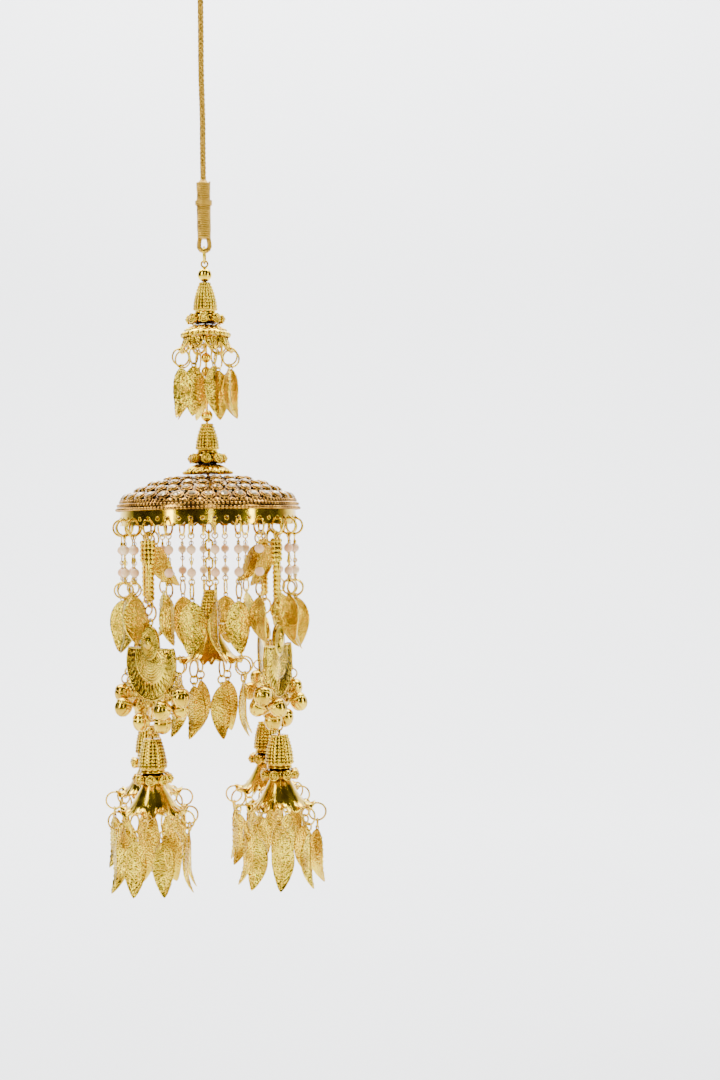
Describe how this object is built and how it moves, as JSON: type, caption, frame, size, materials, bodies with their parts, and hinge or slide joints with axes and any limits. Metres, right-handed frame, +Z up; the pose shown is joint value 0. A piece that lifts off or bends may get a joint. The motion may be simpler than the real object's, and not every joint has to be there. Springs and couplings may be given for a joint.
{
  "type": "kalire bridal ornament",
  "caption": "Hanging gold bridal ornament: a cord holds a tiered bead stem and jewelled dome, hung with pearl strands, sunray pendants with bells, and leaf-fringed flower bells.",
  "frame": {"origin": "the point where the cord's knot is tied, from which the whole ornament hangs", "axes": "+Z up along the cord, +X to the right and +Y away from the viewer in the picture's view"},
  "size_m": [0.0824, 0.0842, 0.3219],
  "materials": {
    "polished_gold": "polished yellow gold plating",
    "satin_gold": "satin yellow gold plating",
    "antique_gold": "antique brown gold with granules",
    "gold_cord": "braided metallic thread",
    "pearl": "ivory pearl lustre",
    "clear_stone": "faceted champagne stone"
  },
  "bodies": {
    "cord": {"cord": "gold_cord", "cord_knot": "gold_cord", "cord_binding": "gold_cord"},
    "ornament": {"hook_ring": "polished_gold", "stem_wire": "polished_gold", "top_ball": "polished_gold", "top_cone": "polished_gold", "top_rosette": "polished_gold", "top_cap": "polished_gold", "top_leaf_drops": "polished_gold", "stem_beads": "polished_gold", "crown_cone": "polished_gold", "crown_rosette": "polished_gold", "crown_flange": "antique_gold", "dome": "antique_gold", "rim_band": "polished_gold", "rim_rings": "polished_gold", "pearl_wires": "polished_gold", "pearls": "pearl", "pearl_leaf_drops": "polished_gold", "bead_bars": "polished_gold", "bar_leaf_drops": "polished_gold", "centre_chain": "polished_gold"},
    "centre_drop": {"centre_ring": "polished_gold", "centre_cone": "polished_gold", "centre_rosette": "polished_gold", "centre_flower": "satin_gold", "centre_leaf_drops": "polished_gold"},
    "pendant_1": {"pendant_ring_1": "polished_gold", "pendant_1": "polished_gold", "pendant_bells_1": "satin_gold"},
    "pendant_2": {"pendant_ring_2": "polished_gold", "pendant_2": "polished_gold", "pendant_bells_2": "satin_gold"},
    "pendant_3": {"pendant_ring_3": "polished_gold", "pendant_3": "polished_gold", "pendant_bells_3": "satin_gold"},
    "pendant_4": {"pendant_ring_4": "polished_gold", "pendant_4": "polished_gold", "pendant_bells_4": "satin_gold"},
    "lower_drop_1": {"drop_links_1": "polished_gold", "drop_cone_1": "polished_gold", "drop_rosette_1": "polished_gold", "drop_flower_1": "satin_gold", "drop_leaf_drops_1": "polished_gold"},
    "lower_drop_2": {"drop_links_2": "polished_gold", "drop_cone_2": "polished_gold", "drop_rosette_2": "polished_gold", "drop_flower_2": "satin_gold", "drop_leaf_drops_2": "polished_gold"},
    "lower_drop_3": {"drop_links_3": "polished_gold", "drop_cone_3": "polished_gold", "drop_rosette_3": "polished_gold", "drop_flower_3": "satin_gold", "drop_leaf_drops_3": "polished_gold"},
    "lower_drop_4": {"drop_links_4": "polished_gold", "drop_cone_4": "polished_gold", "drop_rosette_4": "polished_gold", "drop_flower_4": "satin_gold", "drop_leaf_drops_4": "polished_gold"}
  },
  "joints": [
    {"name": "ornament_swing", "type": "hinge", "parent": "cord", "child": "ornament", "pos_m": [0, 0, -0.09765], "axis": [1, 0, 0], "range_deg": [-20, 20]},
    {"name": "centre_drop_swing", "type": "hinge", "parent": "ornament", "child": "centre_drop", "pos_m": [0, 0, -0.21202], "axis": [1, 0, 0], "range_deg": [-5, 5]},
    {"name": "pendant_swing_1", "type": "hinge", "parent": "ornament", "child": "pendant_1", "pos_m": [-0.01828, -0.02516, -0.22457], "axis": [-0.809, 0.5878, 0], "range_deg": [-3, 20]},
    {"name": "pendant_swing_2", "type": "hinge", "parent": "ornament", "child": "pendant_2", "pos_m": [0.02516, -0.01828, -0.22457], "axis": [-0.5878, -0.809, 0], "range_deg": [-3, 20]},
    {"name": "pendant_swing_3", "type": "hinge", "parent": "ornament", "child": "pendant_3", "pos_m": [0.01828, 0.02516, -0.22457], "axis": [0.6293, -0.7771, 0], "range_deg": [-3, 20]},
    {"name": "pendant_swing_4", "type": "hinge", "parent": "ornament", "child": "pendant_4", "pos_m": [-0.02516, 0.01828, -0.22457], "axis": [0.5878, 0.809, 0], "range_deg": [-3, 20]},
    {"name": "lower_drop_swing_1", "type": "hinge", "parent": "pendant_1", "child": "lower_drop_1", "pos_m": [-0.01828, -0.02516, -0.25905], "axis": [-0.7071, 0.7071, 0], "range_deg": [-4, 15]},
    {"name": "lower_drop_swing_2", "type": "hinge", "parent": "pendant_2", "child": "lower_drop_2", "pos_m": [0.02516, -0.01828, -0.25905], "axis": [-0.2924, -0.9563, 0], "range_deg": [-4, 15]},
    {"name": "lower_drop_swing_3", "type": "hinge", "parent": "pendant_3", "child": "lower_drop_3", "pos_m": [0.01828, 0.02516, -0.25905], "axis": [0.2419, -0.9703, 0], "range_deg": [-4, 15]},
    {"name": "lower_drop_swing_4", "type": "hinge", "parent": "pendant_4", "child": "lower_drop_4", "pos_m": [-0.02516, 0.01828, -0.25905], "axis": [0.2079, 0.9781, 0], "range_deg": [-4, 15]}
  ]
}
